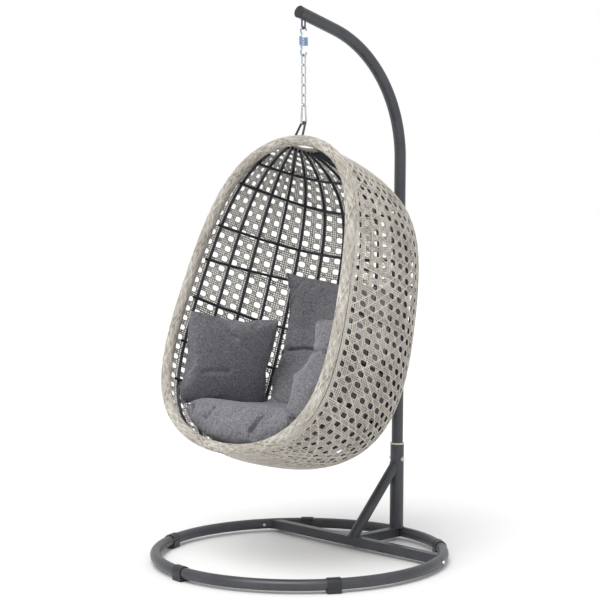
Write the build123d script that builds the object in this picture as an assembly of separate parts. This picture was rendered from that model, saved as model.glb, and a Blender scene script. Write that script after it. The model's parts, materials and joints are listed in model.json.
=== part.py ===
from build123d import *

import math
import os

# Hanging egg chair: a woven egg basket with cushions, hung by spring, chain and snap hook from a
# bent-tube stand with a ring base. Millimetres, +Z up. The origin is on the floor, under the centre
# of the ring base. The basket opens towards -Y and the mast stands at +Y. X runs across.

# --- Ring base -------------------------------------------------------------------------------
RING_R = 506.0  # centreline radius of the ring
RING_TUBE_R = 19.0
TUBE_WALL = 1.6
RING_Z = 28.0  # height of the ring's centreline
SEAM_ANGLES = (29.0, 151.0)  # where the front and rear ring tubes meet, just ahead of the crossbar
SPIGOT_LENGTH = 90.0
FOOT_ANGLES = (204.0, 266.0, 330.0, 56.0, 134.0)
FOOT_LENGTH = 45.0
FOOT_CLIP_R = 22.5
CROSSBAR_Y = 264.0
BAR_SIZE = 34.0  # square tube of the crossbar and the link bar
CROSSBAR_HALF = 430.0
LINK_END_Y = 496.0

# --- Mast ------------------------------------------------------------------------------------
MAST_FOOT_Y = 490.5  # where the mast's axis meets the floor
MAST_RAKE = 0.8  # degrees that the mast leans back
POST_R = 25.4
POST_TOP = 358.0
MAST_R = 21.2
MAST_BOTTOM = 110.0
MAST_STRAIGHT_TOP = 1412.0
ARM_BEND_R = 465.5
ARM_RISE = 16.5  # degrees above level at the tip
ARM_TIP_Y = 8.0
BRACE_R = 19.0
BRACE_FOOT = (0, 268, 45)
BRACE_HEAD = (0, 491, 289)
BOLT_Z = 304.0

# --- Hanging gear ----------------------------------------------------------------------------
HANG_Y = 27.0  # the vertical line that everything hangs on
HANG_GAP = 0.3  # air between pieces that hang in each other
EYE_ROD_R = 3.0
EYE_Z = 1858.0  # centre of the eye's bottom rod
EYE_HALF_WIDTH = 8.0
SPRING_WIRE_R = 3.0
SPRING_R = 13.0
SPRING_TURNS = 6
HOOK_DROP = 19.0  # hook's centre to the coil's end
LINK_WIRE_R = 2.5
LINK_INNER_LENGTH = 35.0
LINK_INNER_WIDTH = 12.0
LINK_COUNT = 5
SNAP_WIRE_R = 3.5
SNAP_TOP_R = 7.5
SNAP_BOTTOM_R = 11.0
SNAP_LENGTH = 70.0  # between the wire centres at top and bottom
GATE_R = 3.0
LOOP_ROD_R = 4.0

# --- Basket ----------------------------------------------------------------------------------
BASKET_TOP = (0, -5.8, 1471.6)  # rim centreline at its top
BASKET_LEAN = 18.2  # degrees that the rim plane leans back
RIM_LENGTH = 1094.5
RIM_HALF_WIDTH = 475.0
RIM_WAVES = (-0.136, 0.148)  # what makes the rim an egg, fuller low down
DEPTH = 632.5
DEPTH_WAVES = (0.124, 0.143, 0.055)
BELLY_DROP = 38.0  # how far the shell sags below the rim line at the back
SECTION_POWER = 2.98  # superellipse power of the level sections
RIM_TUBE_R = 12.0
RIM_WRAP_R = 18.5
SHELL_OUT = 12.0  # shell's outer face outside the rim's centreline
SHELL_THICK = 4.0
SHELL_FRONT = 18.8
EGG_LEVELS = range(6, 175, 12)  # angles down the rim line of the level sections
RIB_R = 5.0
RIB_COUNT = 17
RIB_INSET = 7.5  # from the shell's inner face to a rib's axis
RIB_SIDE_GAP = 0.63  # from the rim plane to the first rib, in gaps between ribs
HOOP_INSET = 17.9
HOOPS = (  # how far below the rim's top each hoop starts, and how much it climbs towards the back
    (76.0, 0.055),
    (146.0, 0.02),
    (303.0, 0.035),
    (432.0, 0.07),
    (571.0, -0.025),
    (735.0, 0.0),
    (875.0, 0.0),
)

# --- Cushions --------------------------------------------------------------------------------
PAD_INSET = 34.0  # level distance from the shell's outer face to the cushions
PAD_LIFT = 12.0  # and how much higher they stand than that in the basket's bottom
SEAT_TOP_Z = 515.0
SEAT_LEAN = 4.0
BACK_PAD_THICK = 56.0
BACK_PAD_HALF = 260.0
BACK_PAD_TOP_S = 383.0
WING_TOP_S = 615.0
WING_THICK = 145.0
WING_INNER = 198.0
WING_BACK = (40, 225)  # where the wing starts and ends, behind the rim plane
LEFT_WING_THICK = 60.0  # the pillow presses this one flat
LEFT_WING_INNER = 100.0
LEFT_WING_BACK = (120, 265)
PILLOW_SIZE = 344.0
PILLOW_THICK = 104.0
PILLOW_EDGE_THICK = 24.0  # at its corners
PILLOW_CENTRE = (-292, -79, 686)
PILLOW_TURN = 68.0
PILLOW_LEAN = -7.5
PILLOW_ROLL = -7.5
PAD_GAP = 0.4  # air between the pillow and the cushions it presses into


def ring_point(angle, radius=RING_R, z=RING_Z):
    """A point on the ring base, angle counted from +X."""
    a = math.radians(angle)
    return Vector(radius * math.cos(a), radius * math.sin(a), z)


def mast_axis(z):
    """The point of the raked mast's axis at height z."""
    return Vector(0, MAST_FOOT_Y + z * math.tan(math.radians(MAST_RAKE)), z)


def rod(start, end, radius):
    """A solid round bar from start to end."""
    start, end = Vector(*start), Vector(*end)
    line = end - start
    return Plane(origin=start, z_dir=line) * Cylinder(
        radius, line.length, align=(Align.CENTER, Align.CENTER, Align.MIN)
    )


def tube(start, end, radius, wall):
    """A round tube from start to end."""
    return rod(start, end, radius) - rod(start, end, radius - wall)


def swept(path, radius, hole=0.0):
    """A round bar, or tube if hole is given, along a path of lines and arcs."""
    start = Plane(origin=path @ 0, z_dir=path % 0)
    section = start * Circle(radius)
    if hole:
        section -= start * Circle(hole)
    return sweep(section, path=path)


def biarc(p0, t0, p1, t1):
    """Two arcs from p0 to p1 that leave along t0 and arrive along t1."""
    v, t = p1 - p0, t0 + t1
    a = 2 * (1 - t0.dot(t1))
    b = v.dot(t)
    if a < 1e-9:
        d = v.dot(v) / (2 * b)
    else:
        d = (math.sqrt(b * b + a * v.dot(v)) - b) / a
    q0, q1 = p0 + t0 * d, p1 - t1 * d
    middle = (q0 + q1) * 0.5
    return [
        TangentArc(p0, middle, tangent=t0),
        TangentArc(middle, p1, tangent=q1 - q0),
    ]


def smooth_path(curve, start, end, spans):
    """Tangent arcs that follow curve(u), a function that gives a Vector."""
    step = (end - start) / spans
    marks = [start + step * i for i in range(spans + 1)]
    points = [curve(u) for u in marks]
    slopes = []
    for u in marks:
        nearby = step * 1e-3
        slopes.append((curve(u + nearby) - curve(u - nearby)).normalized())
    edges = []
    for i in range(spans):
        edges += biarc(points[i], slopes[i], points[i + 1], slopes[i + 1])
    return Wire(edges)


# --- Stand -----------------------------------------------------------------------------------
def ring_section(angle, radius, hole=0.0):
    """The round section of the ring's tube at an angle."""
    here = Plane(origin=ring_point(angle), z_dir=Vector(0, 0, 1).cross(ring_point(angle, z=0)))
    face = here * Circle(radius)
    if hole:
        face -= here * Circle(hole)
    return face


def ring_arc(start, sweep_angle, radius, hole=0.0):
    return revolve(ring_section(start, radius, hole), Axis.Z, sweep_angle)


def ring_solid():
    """The ring filled in, for coping the tubes that end on it."""
    return Plane.XY.offset(RING_Z) * Torus(RING_R, RING_TUBE_R)


def seam_bolt_line(angle, inner, outer):
    return ring_point(angle, inner), ring_point(angle, outer)


def spigot_bolt_angles():
    """Each seam has one bolt, through the front tube and the spigot."""
    turn = math.degrees(22 / RING_R)
    return (SEAM_ANGLES[0] - turn, SEAM_ANGLES[1] + turn)


def bolt_holes(radius):
    holes = Part()
    for angle in spigot_bolt_angles():
        holes += rod(*seam_bolt_line(angle, RING_R - 40, RING_R + 40), radius)
    return holes


def ring_front():
    sweep_angle = 360 - (SEAM_ANGLES[1] - SEAM_ANGLES[0])
    arc = ring_arc(SEAM_ANGLES[1], sweep_angle, RING_TUBE_R, RING_TUBE_R - TUBE_WALL)
    return arc - bolt_holes(3.2)


def ring_rear():
    sweep_angle = SEAM_ANGLES[1] - SEAM_ANGLES[0]
    return ring_arc(SEAM_ANGLES[0], sweep_angle, RING_TUBE_R, RING_TUBE_R - TUBE_WALL)


def ring_spigots():
    """A short inner sleeve at each seam joins the two ring tubes."""
    turn = math.degrees(SPIGOT_LENGTH / RING_R)
    outer = RING_TUBE_R - TUBE_WALL
    sleeves = []
    for angle in SEAM_ANGLES:
        sleeves.append(ring_arc(angle - turn / 2, turn, outer, outer - 2) - bolt_holes(3.2))
    return Compound(sleeves)


def ring_bolts():
    """A button-head bolt at each seam, put in from inside the ring, and its dome nut."""
    pieces = []
    for angle in spigot_bolt_angles():
        inner, outer = RING_R - RING_TUBE_R, RING_R + RING_TUBE_R
        bolt = rod(*seam_bolt_line(angle, inner - 1, outer + 3), 3.0)
        bolt += rod(*seam_bolt_line(angle, inner - 5, inner - 0.4), 5.5)
        nut_plane = Plane(origin=ring_point(angle, outer + 0.4), z_dir=ring_point(angle, z=0))
        bolt += nut_plane * extrude(RegularPolygon(6, 6), 5)
        pieces.append(bolt)
    return Compound(pieces)


def bar_box(length_x, length_y, centre):
    return Pos(*centre) * Box(length_x, length_y, BAR_SIZE)


def crossbar_solid():
    return bar_box(2 * CROSSBAR_HALF, BAR_SIZE, (0, CROSSBAR_Y, RING_Z))


def link_solid():
    start = CROSSBAR_Y + BAR_SIZE / 2
    return bar_box(BAR_SIZE, LINK_END_Y - start, (0, (LINK_END_Y + start) / 2, RING_Z))


def rounded_bar(solid, along):
    """A square tube with rounded long edges, hollow from end to end."""
    size = solid.bounding_box().size
    outer = fillet(solid.edges().filter_by(along), 3)
    inner_size = [size.X, size.Y, size.Z]
    for i, axis in enumerate((Axis.X, Axis.Y, Axis.Z)):
        if axis != along:
            inner_size[i] -= 2 * TUBE_WALL + 0.4
        else:
            inner_size[i] += 2
    return outer - Pos(*solid.bounding_box().center()) * Box(*inner_size)


def crossbar():
    return rounded_bar(crossbar_solid(), Axis.X) - ring_solid()


def link_bar():
    return rounded_bar(link_solid(), Axis.Y) - ring_solid()


def bolt_axis(half):
    centre = mast_axis(BOLT_Z)
    return (-half, centre.Y, centre.Z), (half, centre.Y, centre.Z)


def mast_bolt_hole():
    return rod(*bolt_axis(60), 4.15)


def post_socket():
    foot_z = RING_Z + BAR_SIZE / 2 - 1
    post = tube(mast_axis(foot_z), mast_axis(POST_TOP), POST_R, 1.6)
    return post - ring_solid() - link_solid() - mast_bolt_hole()


def brace_tube():
    foot, head = Vector(*BRACE_FOOT), Vector(*BRACE_HEAD)
    run = (head - foot).normalized()
    brace = tube(foot - run * 30, head + run * 5, BRACE_R, TUBE_WALL)
    post = rod(mast_axis(0), mast_axis(POST_TOP), POST_R)
    floor_block = Pos(0, CROSSBAR_Y, RING_Z - 10) * Box(200, 200, BAR_SIZE + 20)
    return brace - post - floor_block


def bush(low, high, flange):
    """A plastic sleeve between the mast and the socket post."""
    inner, outer = MAST_R + 0.05, POST_R - 1.65
    sleeve = tube(mast_axis(low), mast_axis(high), outer, outer - inner)
    if flange:
        sleeve += tube(mast_axis(high), mast_axis(high + 5), POST_R + 1.4, POST_R + 1.4 - inner)
    return sleeve


def mast_arm_path():
    """Up the raked mast, round the bend and out along the rising arm."""
    rake, rise = math.radians(MAST_RAKE), math.radians(ARM_RISE)
    bottom, bend_start = mast_axis(MAST_BOTTOM), mast_axis(MAST_STRAIGHT_TOP)
    up = Vector(0, math.sin(rake), math.cos(rake))
    bend_centre = bend_start - Vector(0, math.cos(rake), -math.sin(rake)) * ARM_BEND_R
    bend_end = bend_centre + Vector(0, math.sin(rise), math.cos(rise)) * ARM_BEND_R
    out = Vector(0, -math.cos(rise), math.sin(rise))
    tip = bend_end + out * ((bend_end.Y - ARM_TIP_Y) / math.cos(rise))
    edges = [Line(bottom, bend_start), TangentArc(bend_start, bend_end, tangent=up), Line(bend_end, tip)]
    return Wire(edges), tip, out


def mast_arm():
    path, _, _ = mast_arm_path()
    return swept(path, MAST_R, MAST_R - 1.8) - mast_bolt_hole()


def arm_end_cap():
    """A moulded plug with a rounded lip that closes the arm's tip."""
    _, tip, out = mast_arm_path()
    plug = rod(tip - out * 22, tip, MAST_R - 1.85)
    plug -= rod(tip - out * 23, tip - out * 3, MAST_R - 4.5)
    lip = rod(tip, tip + out * 5, MAST_R + 0.8)
    outer_edge = lip.edges().sort_by(lambda edge: edge.center().dot(out))[-1]
    return plug + fillet(outer_edge, 3)


def mast_bolt():
    """A hex bolt through the post and the mast, with its head on the +X side."""
    _, head_side = bolt_axis(POST_R + 2)
    start, _ = bolt_axis(POST_R + 12)
    head = Plane(origin=head_side, z_dir=(1, 0, 0)) * extrude(RegularPolygon(7.5, 6), 5.5)
    return rod(start, head_side, 4.0) + head


def mast_washers():
    washers = []
    for side in (-1, 1):
        centre = mast_axis(BOLT_Z)
        start = (side * (POST_R + 0.1), centre.Y, centre.Z)
        end = (side * (POST_R + 1.9), centre.Y, centre.Z)
        washers.append(rod(start, end, 8.5) - mast_bolt_hole())
    return Compound(washers)


def mast_nut():
    start, _ = bolt_axis(POST_R + 2)
    nut = Plane(origin=start, z_dir=(-1, 0, 0)) * extrude(RegularPolygon(7.5, 6), 6.5)
    return nut - rod(*bolt_axis(60), 4.02)


def foot(angle):
    """A moulded clip that grips the ring's tube and stands on the floor."""
    turn = math.degrees(FOOT_LENGTH / RING_R)
    outward = ring_point(angle - turn / 2, z=0)
    tangent = Vector(0, 0, 1).cross(outward)
    here = Plane(origin=ring_point(angle - turn / 2), x_dir=outward, z_dir=tangent * -1)
    profile = Circle(FOOT_CLIP_R)
    profile += Pos(0, -RING_Z / 2) * RectangleRounded(40, RING_Z, 4)
    profile -= Circle(RING_TUBE_R + 0.05)
    clip = revolve(here * profile, Axis.Z, turn)
    grip_gap = Plane(origin=ring_point(angle, RING_R - 22, RING_Z + 4), x_dir=outward)
    return clip - grip_gap * Box(14, FOOT_LENGTH * 2, 9)


# --- Hanging gear ----------------------------------------------------------------------------
def hanger_eye():
    """A U of steel rod welded under the arm's tip."""
    _, tip, out = mast_arm_path()
    arm_z = tip.Z - (HANG_Y - tip.Y) * math.tan(math.radians(ARM_RISE))
    w, y = EYE_HALF_WIDTH, HANG_Y
    leg_top = arm_z - 10
    path = FilletPolyline(
        [(-w, y, leg_top), (-w, y, EYE_Z), (w, y, EYE_Z), (w, y, leg_top)], radius=w - 1.5
    )
    arm = rod(tip - out * 200, tip + out * 10, MAST_R)
    return swept(Wire(path.edges()), EYE_ROD_R) - arm


def spring_ends():
    """The heights of the upper hook's centre, the coil's top and bottom, and the lower hook's centre."""
    top_hook = EYE_Z + EYE_ROD_R + SPRING_WIRE_R + HANG_GAP - SPRING_R
    coil_top = top_hook - HOOK_DROP
    coil_bottom = coil_top - SPRING_TURNS * 2 * SPRING_WIRE_R
    return top_hook, coil_top, coil_bottom, coil_bottom - HOOK_DROP


def spring():
    """A closed extension spring: its coil stands as a sleeve of the true size, with two C hooks."""
    top_hook, coil_top, coil_bottom, bottom_hook = spring_ends()
    wire = SPRING_WIRE_R
    body = tube((0, HANG_Y, coil_bottom), (0, HANG_Y, coil_top), SPRING_R + wire, 2 * wire)
    for hook_z, coil_end, up in ((top_hook, coil_top, 1), (bottom_hook, coil_bottom, -1)):
        plane = Plane(origin=(0, HANG_Y, hook_z), x_dir=(0, 1, 0), z_dir=(1, 0, 0))
        arc = plane * CenterArc((0, 0), SPRING_R, 0, 235 * up)
        shank_end = Vector(0, HANG_Y - SPRING_R, coil_end - up * wire)
        body += swept(Wire([arc]), wire) + Pos(*(arc @ 1)) * Sphere(wire)
        body += rod(arc @ 1, shank_end, wire)
    return body


def chain_link_top(index):
    """The wire centre at the top of a link, counted from 0 at the spring."""
    _, _, _, bottom_hook = spring_ends()
    first = bottom_hook - SPRING_R + SPRING_WIRE_R + LINK_WIRE_R + HANG_GAP
    pitch = LINK_INNER_LENGTH - HANG_GAP
    return first - pitch * index


def chain_link(index):
    """A long link; the links lie by turns across and along the chair."""
    top = chain_link_top(index)
    length = LINK_INNER_LENGTH + 2 * LINK_WIRE_R
    r = (LINK_INNER_WIDTH + 2 * LINK_WIRE_R) / 2
    x_dir = (1, 0, 0) if index % 2 == 0 else (0, 1, 0)
    centre = (0, HANG_Y, top - length / 2)
    plane = Plane(origin=centre, x_dir=x_dir, z_dir=Vector(*x_dir).cross(Vector(0, 0, 1)))
    half = length / 2 - r
    outline = [
        Line((-r, -half), (-r, half)),
        CenterArc((0, half), r, 180, -180),
        Line((r, half), (r, -half)),
        CenterArc((0, -half), r, 0, -180),
    ]
    return swept(Wire([plane * edge for edge in outline]), LINK_WIRE_R)


def snap_frame():
    """The snap hook's top and bottom wire heights, arc centres and side slope."""
    top = chain_link_top(LINK_COUNT - 1) - LINK_INNER_LENGTH - LINK_WIRE_R + SNAP_WIRE_R + HANG_GAP
    bottom = top - SNAP_LENGTH
    centre_top, centre_bottom = top - SNAP_TOP_R, bottom + SNAP_BOTTOM_R
    slope = math.asin((SNAP_BOTTOM_R - SNAP_TOP_R) / (centre_top - centre_bottom))
    return top, bottom, centre_top, centre_bottom, slope


def snap_plane():
    return Plane(origin=(0, HANG_Y, 0), x_dir=(0, 1, 0), z_dir=(1, 0, 0))


def gate_line():
    """The gate's two ends: the hinge low down and the nose high up, on the +Y side."""
    _, _, centre_top, centre_bottom, slope = snap_frame()
    normal = Vector(math.cos(slope), math.sin(slope))
    low = Vector(0, centre_bottom) + normal * SNAP_BOTTOM_R
    high = Vector(0, centre_top) + normal * SNAP_TOP_R
    run = high - low
    return low + run * 0.12, low + run * 0.86


def snap_body():
    """The snap hook's bent rod, open on the side that the gate closes."""
    _, _, centre_top, centre_bottom, slope = snap_frame()
    normal = Vector(math.cos(slope), math.sin(slope))
    mirror = Vector(-normal.X, normal.Y)
    low, high = Vector(0, centre_bottom), Vector(0, centre_top)
    hinge, nose = gate_line()
    turn = math.degrees(slope)
    outline = [
        Line(hinge, low + normal * SNAP_BOTTOM_R),
        CenterArc((0, centre_bottom), SNAP_BOTTOM_R, turn, -(180 + 2 * turn)),
        Line(low + mirror * SNAP_BOTTOM_R, high + mirror * SNAP_TOP_R),
        CenterArc((0, centre_top), SNAP_TOP_R, 180 - turn, -(180 - 2 * turn)),
        Line(high + normal * SNAP_TOP_R, nose),
    ]
    body = swept(Wire([snap_plane() * edge for edge in outline]), SNAP_WIRE_R)
    hinge_world = snap_plane().from_local_coords(hinge)
    slot = Pos(*hinge_world) * Box(3.2, 12, 13)
    return body - slot - gate_pin(0.05)


def gate_pin(clearance=0.0):
    hinge, _ = gate_line()
    centre = snap_plane().from_local_coords(hinge) - Vector(0, 0, 2.6)
    return rod(centre - Vector(3.4, 0, 0), centre + Vector(3.4, 0, 0), 1.25 + clearance)


def snap_gate():
    """The sprung gate: a round bar with a flat tongue on the hinge pin."""
    hinge, nose = gate_line()
    low = snap_plane().from_local_coords(hinge)
    high = snap_plane().from_local_coords(nose)
    run = (high - low).normalized()
    bar = rod(low + run * 6, high - run * 0.5, GATE_R)
    tongue = rod(low - run * 5, low + run * 7, GATE_R) & Pos(*low) * Box(2.8, 20, 30)
    return bar + tongue - gate_pin()


def hanging_loop_rod():
    """The whole bent rod of the hanging loop, with its feet inside the rim."""
    _, bottom, _, _, _ = snap_frame()
    top = bottom + SNAP_WIRE_R + LOOP_ROD_R + HANG_GAP
    foot_y, foot_z = BASKET_TOP[1] + 3, BASKET_TOP[2] + 2
    points = [(-21, foot_y, foot_z), (-9, HANG_Y, top), (9, HANG_Y, top), (21, foot_y, foot_z)]
    path = FilletPolyline(points, radius=8)
    return swept(Wire(path.edges()), LOOP_ROD_R)


# --- Basket ----------------------------------------------------------------------------------
def basket_place():
    """The basket's own frame: origin at the rim's top, Y into the shell, Z up the rim line."""
    lean = math.radians(BASKET_LEAN)
    return Plane(origin=BASKET_TOP, x_dir=(1, 0, 0), z_dir=(0, math.sin(lean), math.cos(lean)))


def along(angle):
    """Distance down the rim line, for an angle from 0 at the top to 180 at the bottom."""
    return RIM_LENGTH / 2 * (1 - math.cos(math.radians(angle)))


def angle_at(s):
    return math.degrees(math.acos(1 - 2 * s / RIM_LENGTH))


def wave(angle, factors):
    total = 1.0
    for i, factor in enumerate(factors):
        total += factor * math.cos(math.radians(angle) * (i + 1))
    return math.sin(math.radians(angle)) * total


def half_width(angle):
    return RIM_HALF_WIDTH * wave(angle, RIM_WAVES)


def depth(angle):
    return DEPTH * wave(angle, DEPTH_WAVES)


def sag_slope(angle):
    """How steeply a level section drops towards the back: none at the top, most low down."""
    low = (1 - math.cos(math.radians(angle))) / 2
    return 4 * BELLY_DROP * math.sin(math.radians(angle)) * low * low / depth(angle)


def shell_point(angle, direction, out):
    """A point of the shell, in the basket's frame, at an angle down the rim line and a direction
    round the level section: 0 is +X, 90 the back. out widens the section."""
    d = math.radians(direction)
    w, deep = half_width(angle) + out, depth(angle) + out
    side = abs(math.cos(d) / w) ** SECTION_POWER + abs(math.sin(d) / deep) ** SECTION_POWER
    reach = side ** (-1 / SECTION_POWER)
    back = reach * math.sin(d)
    return Vector(reach * math.cos(d), back, -along(angle) - sag_slope(angle) * back)


def thinned_point(angle, direction, inset):
    """The shell's outer surface drawn in by inset on every side, top and bottom included."""
    point = shell_point(angle, direction, SHELL_OUT - inset)
    middle = -RIM_LENGTH / 2
    return Vector(point.X, point.Y, middle + (point.Z - middle) * (1 - 2 * inset / RIM_LENGTH))


def inside_point(angle, direction, inset):
    """A point square to the shell's inner face, at a distance inside it."""
    step = 0.05
    here = thinned_point(angle, direction, SHELL_THICK)
    down = thinned_point(angle + step, direction, SHELL_THICK) - here
    level = thinned_point(angle, direction + step, SHELL_THICK) - here
    return here + level.cross(down).normalized() * inset


def rim_curve(turn):
    """The rim's centreline down its +X side, from 0 at the top to 180 at the bottom."""
    side = math.copysign(1, math.sin(math.radians(turn)))
    angle = abs(turn) if turn <= 180 else 360 - turn
    return Vector(side * half_width(angle), 0, -along(angle))


def rim_loop(radius, hole=0.0):
    """The rim's round section swept down one side, and its mirror image."""
    half = swept(smooth_path(rim_curve, 0, 180, 10), radius, hole)
    return basket_place() * (half + mirror(half, about=Plane.YZ))


def rim_tube():
    return rim_loop(RIM_TUBE_R, RIM_TUBE_R - 1.5)


def rim_wrap():
    """The band of woven strands wound round the rim tube."""
    return rim_loop(RIM_WRAP_R, RIM_TUBE_R) - hanging_loop_rod()


def hanging_loop():
    """The bent rod, welded on the rim's top, that the snap hook holds."""
    return hanging_loop_rod() - rim_loop(RIM_TUBE_R)


def egg_solid(inset):
    """The egg filled in, from the rim plane back, lofted through level sections."""
    sections = []
    for angle in EGG_LEVELS:
        points = [thinned_point(angle, direction, inset) for direction in range(0, 181, 15)]
        back = Vector(0, 1, -sag_slope(angle) * (1 - 2 * inset / RIM_LENGTH))
        outline = [Spline(points, tangents=[back, back * -1]), Line(points[-1], points[0])]
        sections.append(Face(Wire(outline)))
    return loft(sections)


def woven_shell():
    """The woven skin, as one thin closed wall with the true outer shape and an open front."""
    ahead = Pos(0, SHELL_FRONT - 100, -RIM_LENGTH / 2) * Box(1200, 200, 1400)
    return basket_place() * (egg_solid(0) - egg_solid(SHELL_THICK) - ahead)


def rib_directions():
    """Directions that space the ribs evenly round the section of the third hoop."""
    middle = angle_at(HOOPS[2][0])
    walk = [shell_point(middle, d / 2, 0) for d in range(361)]
    lengths = [0.0]
    for a, b in zip(walk, walk[1:]):
        lengths.append(lengths[-1] + (b - a).length)
    gap = lengths[-1] / (RIB_COUNT - 1 + 2 * RIB_SIDE_GAP)
    directions = []
    for i in range(RIB_COUNT):
        nearest = min(range(361), key=lambda j: abs(lengths[j] - gap * (RIB_SIDE_GAP + i)))
        directions.append(nearest / 2)
    return directions


def rib_ends(direction):
    """The angles between which a rib runs, clear of the rim's wrap."""
    clear = RIM_WRAP_R + RIB_R + 0.5
    free = [a for a in range(6, 167) if inside_point(a, direction, RIB_INSET).Y > clear]
    return free[0], free[-1]


def frame_ribs():
    """The steel ribs that fan out from the rim's top and meet again at its bottom."""
    ribs = []
    for direction in rib_directions():
        start, end = rib_ends(direction)
        path = smooth_path(lambda a, d=direction: inside_point(a, d, RIB_INSET), start, end, 10)
        ribs.append(swept(path, RIB_R, RIB_R - 1.2))
    return basket_place() * Compound(ribs)


def hoop_point(start, climb, direction):
    """A point inside the ribs on a hoop that lies in a plane, climbing towards the back."""
    s = start
    for _ in range(6):
        point = inside_point(angle_at(s), direction, HOOP_INSET)
        s += point.Z + start - climb * point.Y
    return inside_point(angle_at(s), direction, HOOP_INSET)


def frame_hoops():
    """The steel hoops, inside the ribs, from one side of the rim to the other."""
    hoops = []
    for start, climb in HOOPS:
        path = smooth_path(lambda d, s=start, c=climb: hoop_point(s, c, d), 5, 175, 10)
        hoops.append(swept(path, RIB_R, RIB_R - 1.2))
    return basket_place() * Compound(hoops)


# --- Cushions --------------------------------------------------------------------------------
def bowl(inset):
    """The room inside the basket's frame, lifted clear of its bottom."""
    return Pos(0, 0, PAD_LIFT) * (basket_place() * egg_solid(inset))


def seat_plane(lift=0.0):
    """The plane of the seat cushion's top, leaning down towards the back."""
    lean = math.radians(SEAT_LEAN)
    origin = (0, 0, SEAT_TOP_Z + lift)
    return Plane(origin=origin, x_dir=(1, 0, 0), z_dir=(0, math.sin(lean), math.cos(lean)))


def above_seat(lift):
    return seat_plane(lift) * Box(1500, 1500, 1500, align=(Align.CENTER, Align.CENTER, Align.MIN))


def basket_block(x, back, s):
    """A block in the basket's frame, given as its ranges across, back and down the rim line."""
    size = (x[1] - x[0], back[1] - back[0], s[1] - s[0])
    centre = ((x[0] + x[1]) / 2, (back[0] + back[1]) / 2, -(s[0] + s[1]) / 2)
    return basket_place() * (Pos(*centre) * Box(*size))


def seat_cushion():
    """The thick seat pad that fills the bottom of the bowl."""
    front = basket_block((-600, 600), (0, 800), (0, 1300))
    return (bowl(PAD_INSET) & front) - above_seat(0) - pillow_block(PAD_GAP)


def back_cushion():
    """The tall pad against the back of the basket."""
    block = basket_block((-BACK_PAD_HALF, BACK_PAD_HALF), (250, 800), (BACK_PAD_TOP_S, 1300))
    pad = (bowl(PAD_INSET) - bowl(PAD_INSET + BACK_PAD_THICK)) & block & above_seat(3)
    return pad - pillow_block(PAD_GAP)


def seat_wing(side, thick, inner, back):
    """The wing of the cushion set that rolls up one side of the basket."""
    block = basket_block(sorted((side * inner, side * 600)), back, (WING_TOP_S, 1300))
    wing = (bowl(PAD_INSET) - bowl(PAD_INSET + thick)) & block & above_seat(3)
    return (wing - pillow_block(PAD_GAP)).solids().sort_by(SortBy.VOLUME)[-1]


def pillow_block(gap=0.0):
    """A square pillow with two crowned faces, stood against the left side of the basket."""
    reach = PILLOW_SIZE / 2 * math.sqrt(2)
    rise = (PILLOW_THICK - PILLOW_EDGE_THICK) / 2
    crown_r = (reach * reach + rise * rise) / (2 * rise)
    pillow = Box(PILLOW_SIZE + 2 * gap, PILLOW_THICK * 2, PILLOW_SIZE + 2 * gap)
    for face in (-1, 1):
        pillow &= Pos(0, face * (PILLOW_THICK / 2 + gap - crown_r), 0) * Sphere(crown_r)
    turned = Rot(0, 0, PILLOW_TURN) * Rot(-PILLOW_LEAN, 0, 0) * Rot(0, -PILLOW_ROLL, 0)
    return Pos(*PILLOW_CENTRE) * turned * pillow


def throw_pillow():
    """The scatter pillow; its lower corner is squashed by the side of the basket."""
    return pillow_block() & bowl(PAD_INSET)


def nodes():
    """Every separate piece of the chair by name."""
    pieces = {
        "ring_front": ring_front(),
        "ring_rear": ring_rear(),
        "ring_spigots": ring_spigots(),
        "ring_bolts": ring_bolts(),
        "crossbar": crossbar(),
        "link_bar": link_bar(),
        "post_socket": post_socket(),
        "brace_tube": brace_tube(),
        "post_bush": bush(POST_TOP - 45, POST_TOP, True),
        "mast_lower_bush": bush(MAST_BOTTOM, MAST_BOTTOM + 40, False),
        "mast_arm": mast_arm(),
        "arm_end_cap": arm_end_cap(),
        "mast_bolt": mast_bolt(),
        "mast_washers": mast_washers(),
        "mast_nut": mast_nut(),
        "hanger_eye": hanger_eye(),
        "spring": spring(),
        "snap_body": snap_body(),
        "snap_gate": snap_gate(),
        "snap_gate_pin": gate_pin(),
        "hanging_loop": hanging_loop(),
        "rim_tube": rim_tube(),
        "rim_wrap": rim_wrap(),
        "frame_ribs": frame_ribs(),
        "frame_hoops": frame_hoops(),
        "woven_shell": woven_shell(),
        "seat_cushion": seat_cushion(),
        "back_cushion": back_cushion(),
        "seat_wing_right": seat_wing(1, WING_THICK, WING_INNER, WING_BACK),
        "seat_wing_left": seat_wing(-1, LEFT_WING_THICK, LEFT_WING_INNER, LEFT_WING_BACK),
        "throw_pillow": throw_pillow(),
    }
    for number, angle in enumerate(FOOT_ANGLES, start=1):
        pieces[f"foot_{number}"] = foot(angle)
    for index in range(LINK_COUNT):
        pieces[f"chain_link_{index + 1}"] = chain_link(index)
    return pieces


def main():
    os.makedirs("parts", exist_ok=True)
    for name, piece in nodes().items():
        export_step(piece, f"parts/{name}.step")


if __name__ == "__main__":
    main()
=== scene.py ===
import json
import math

import bpy
import numpy as np
from mathutils import Matrix, Vector


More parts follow.
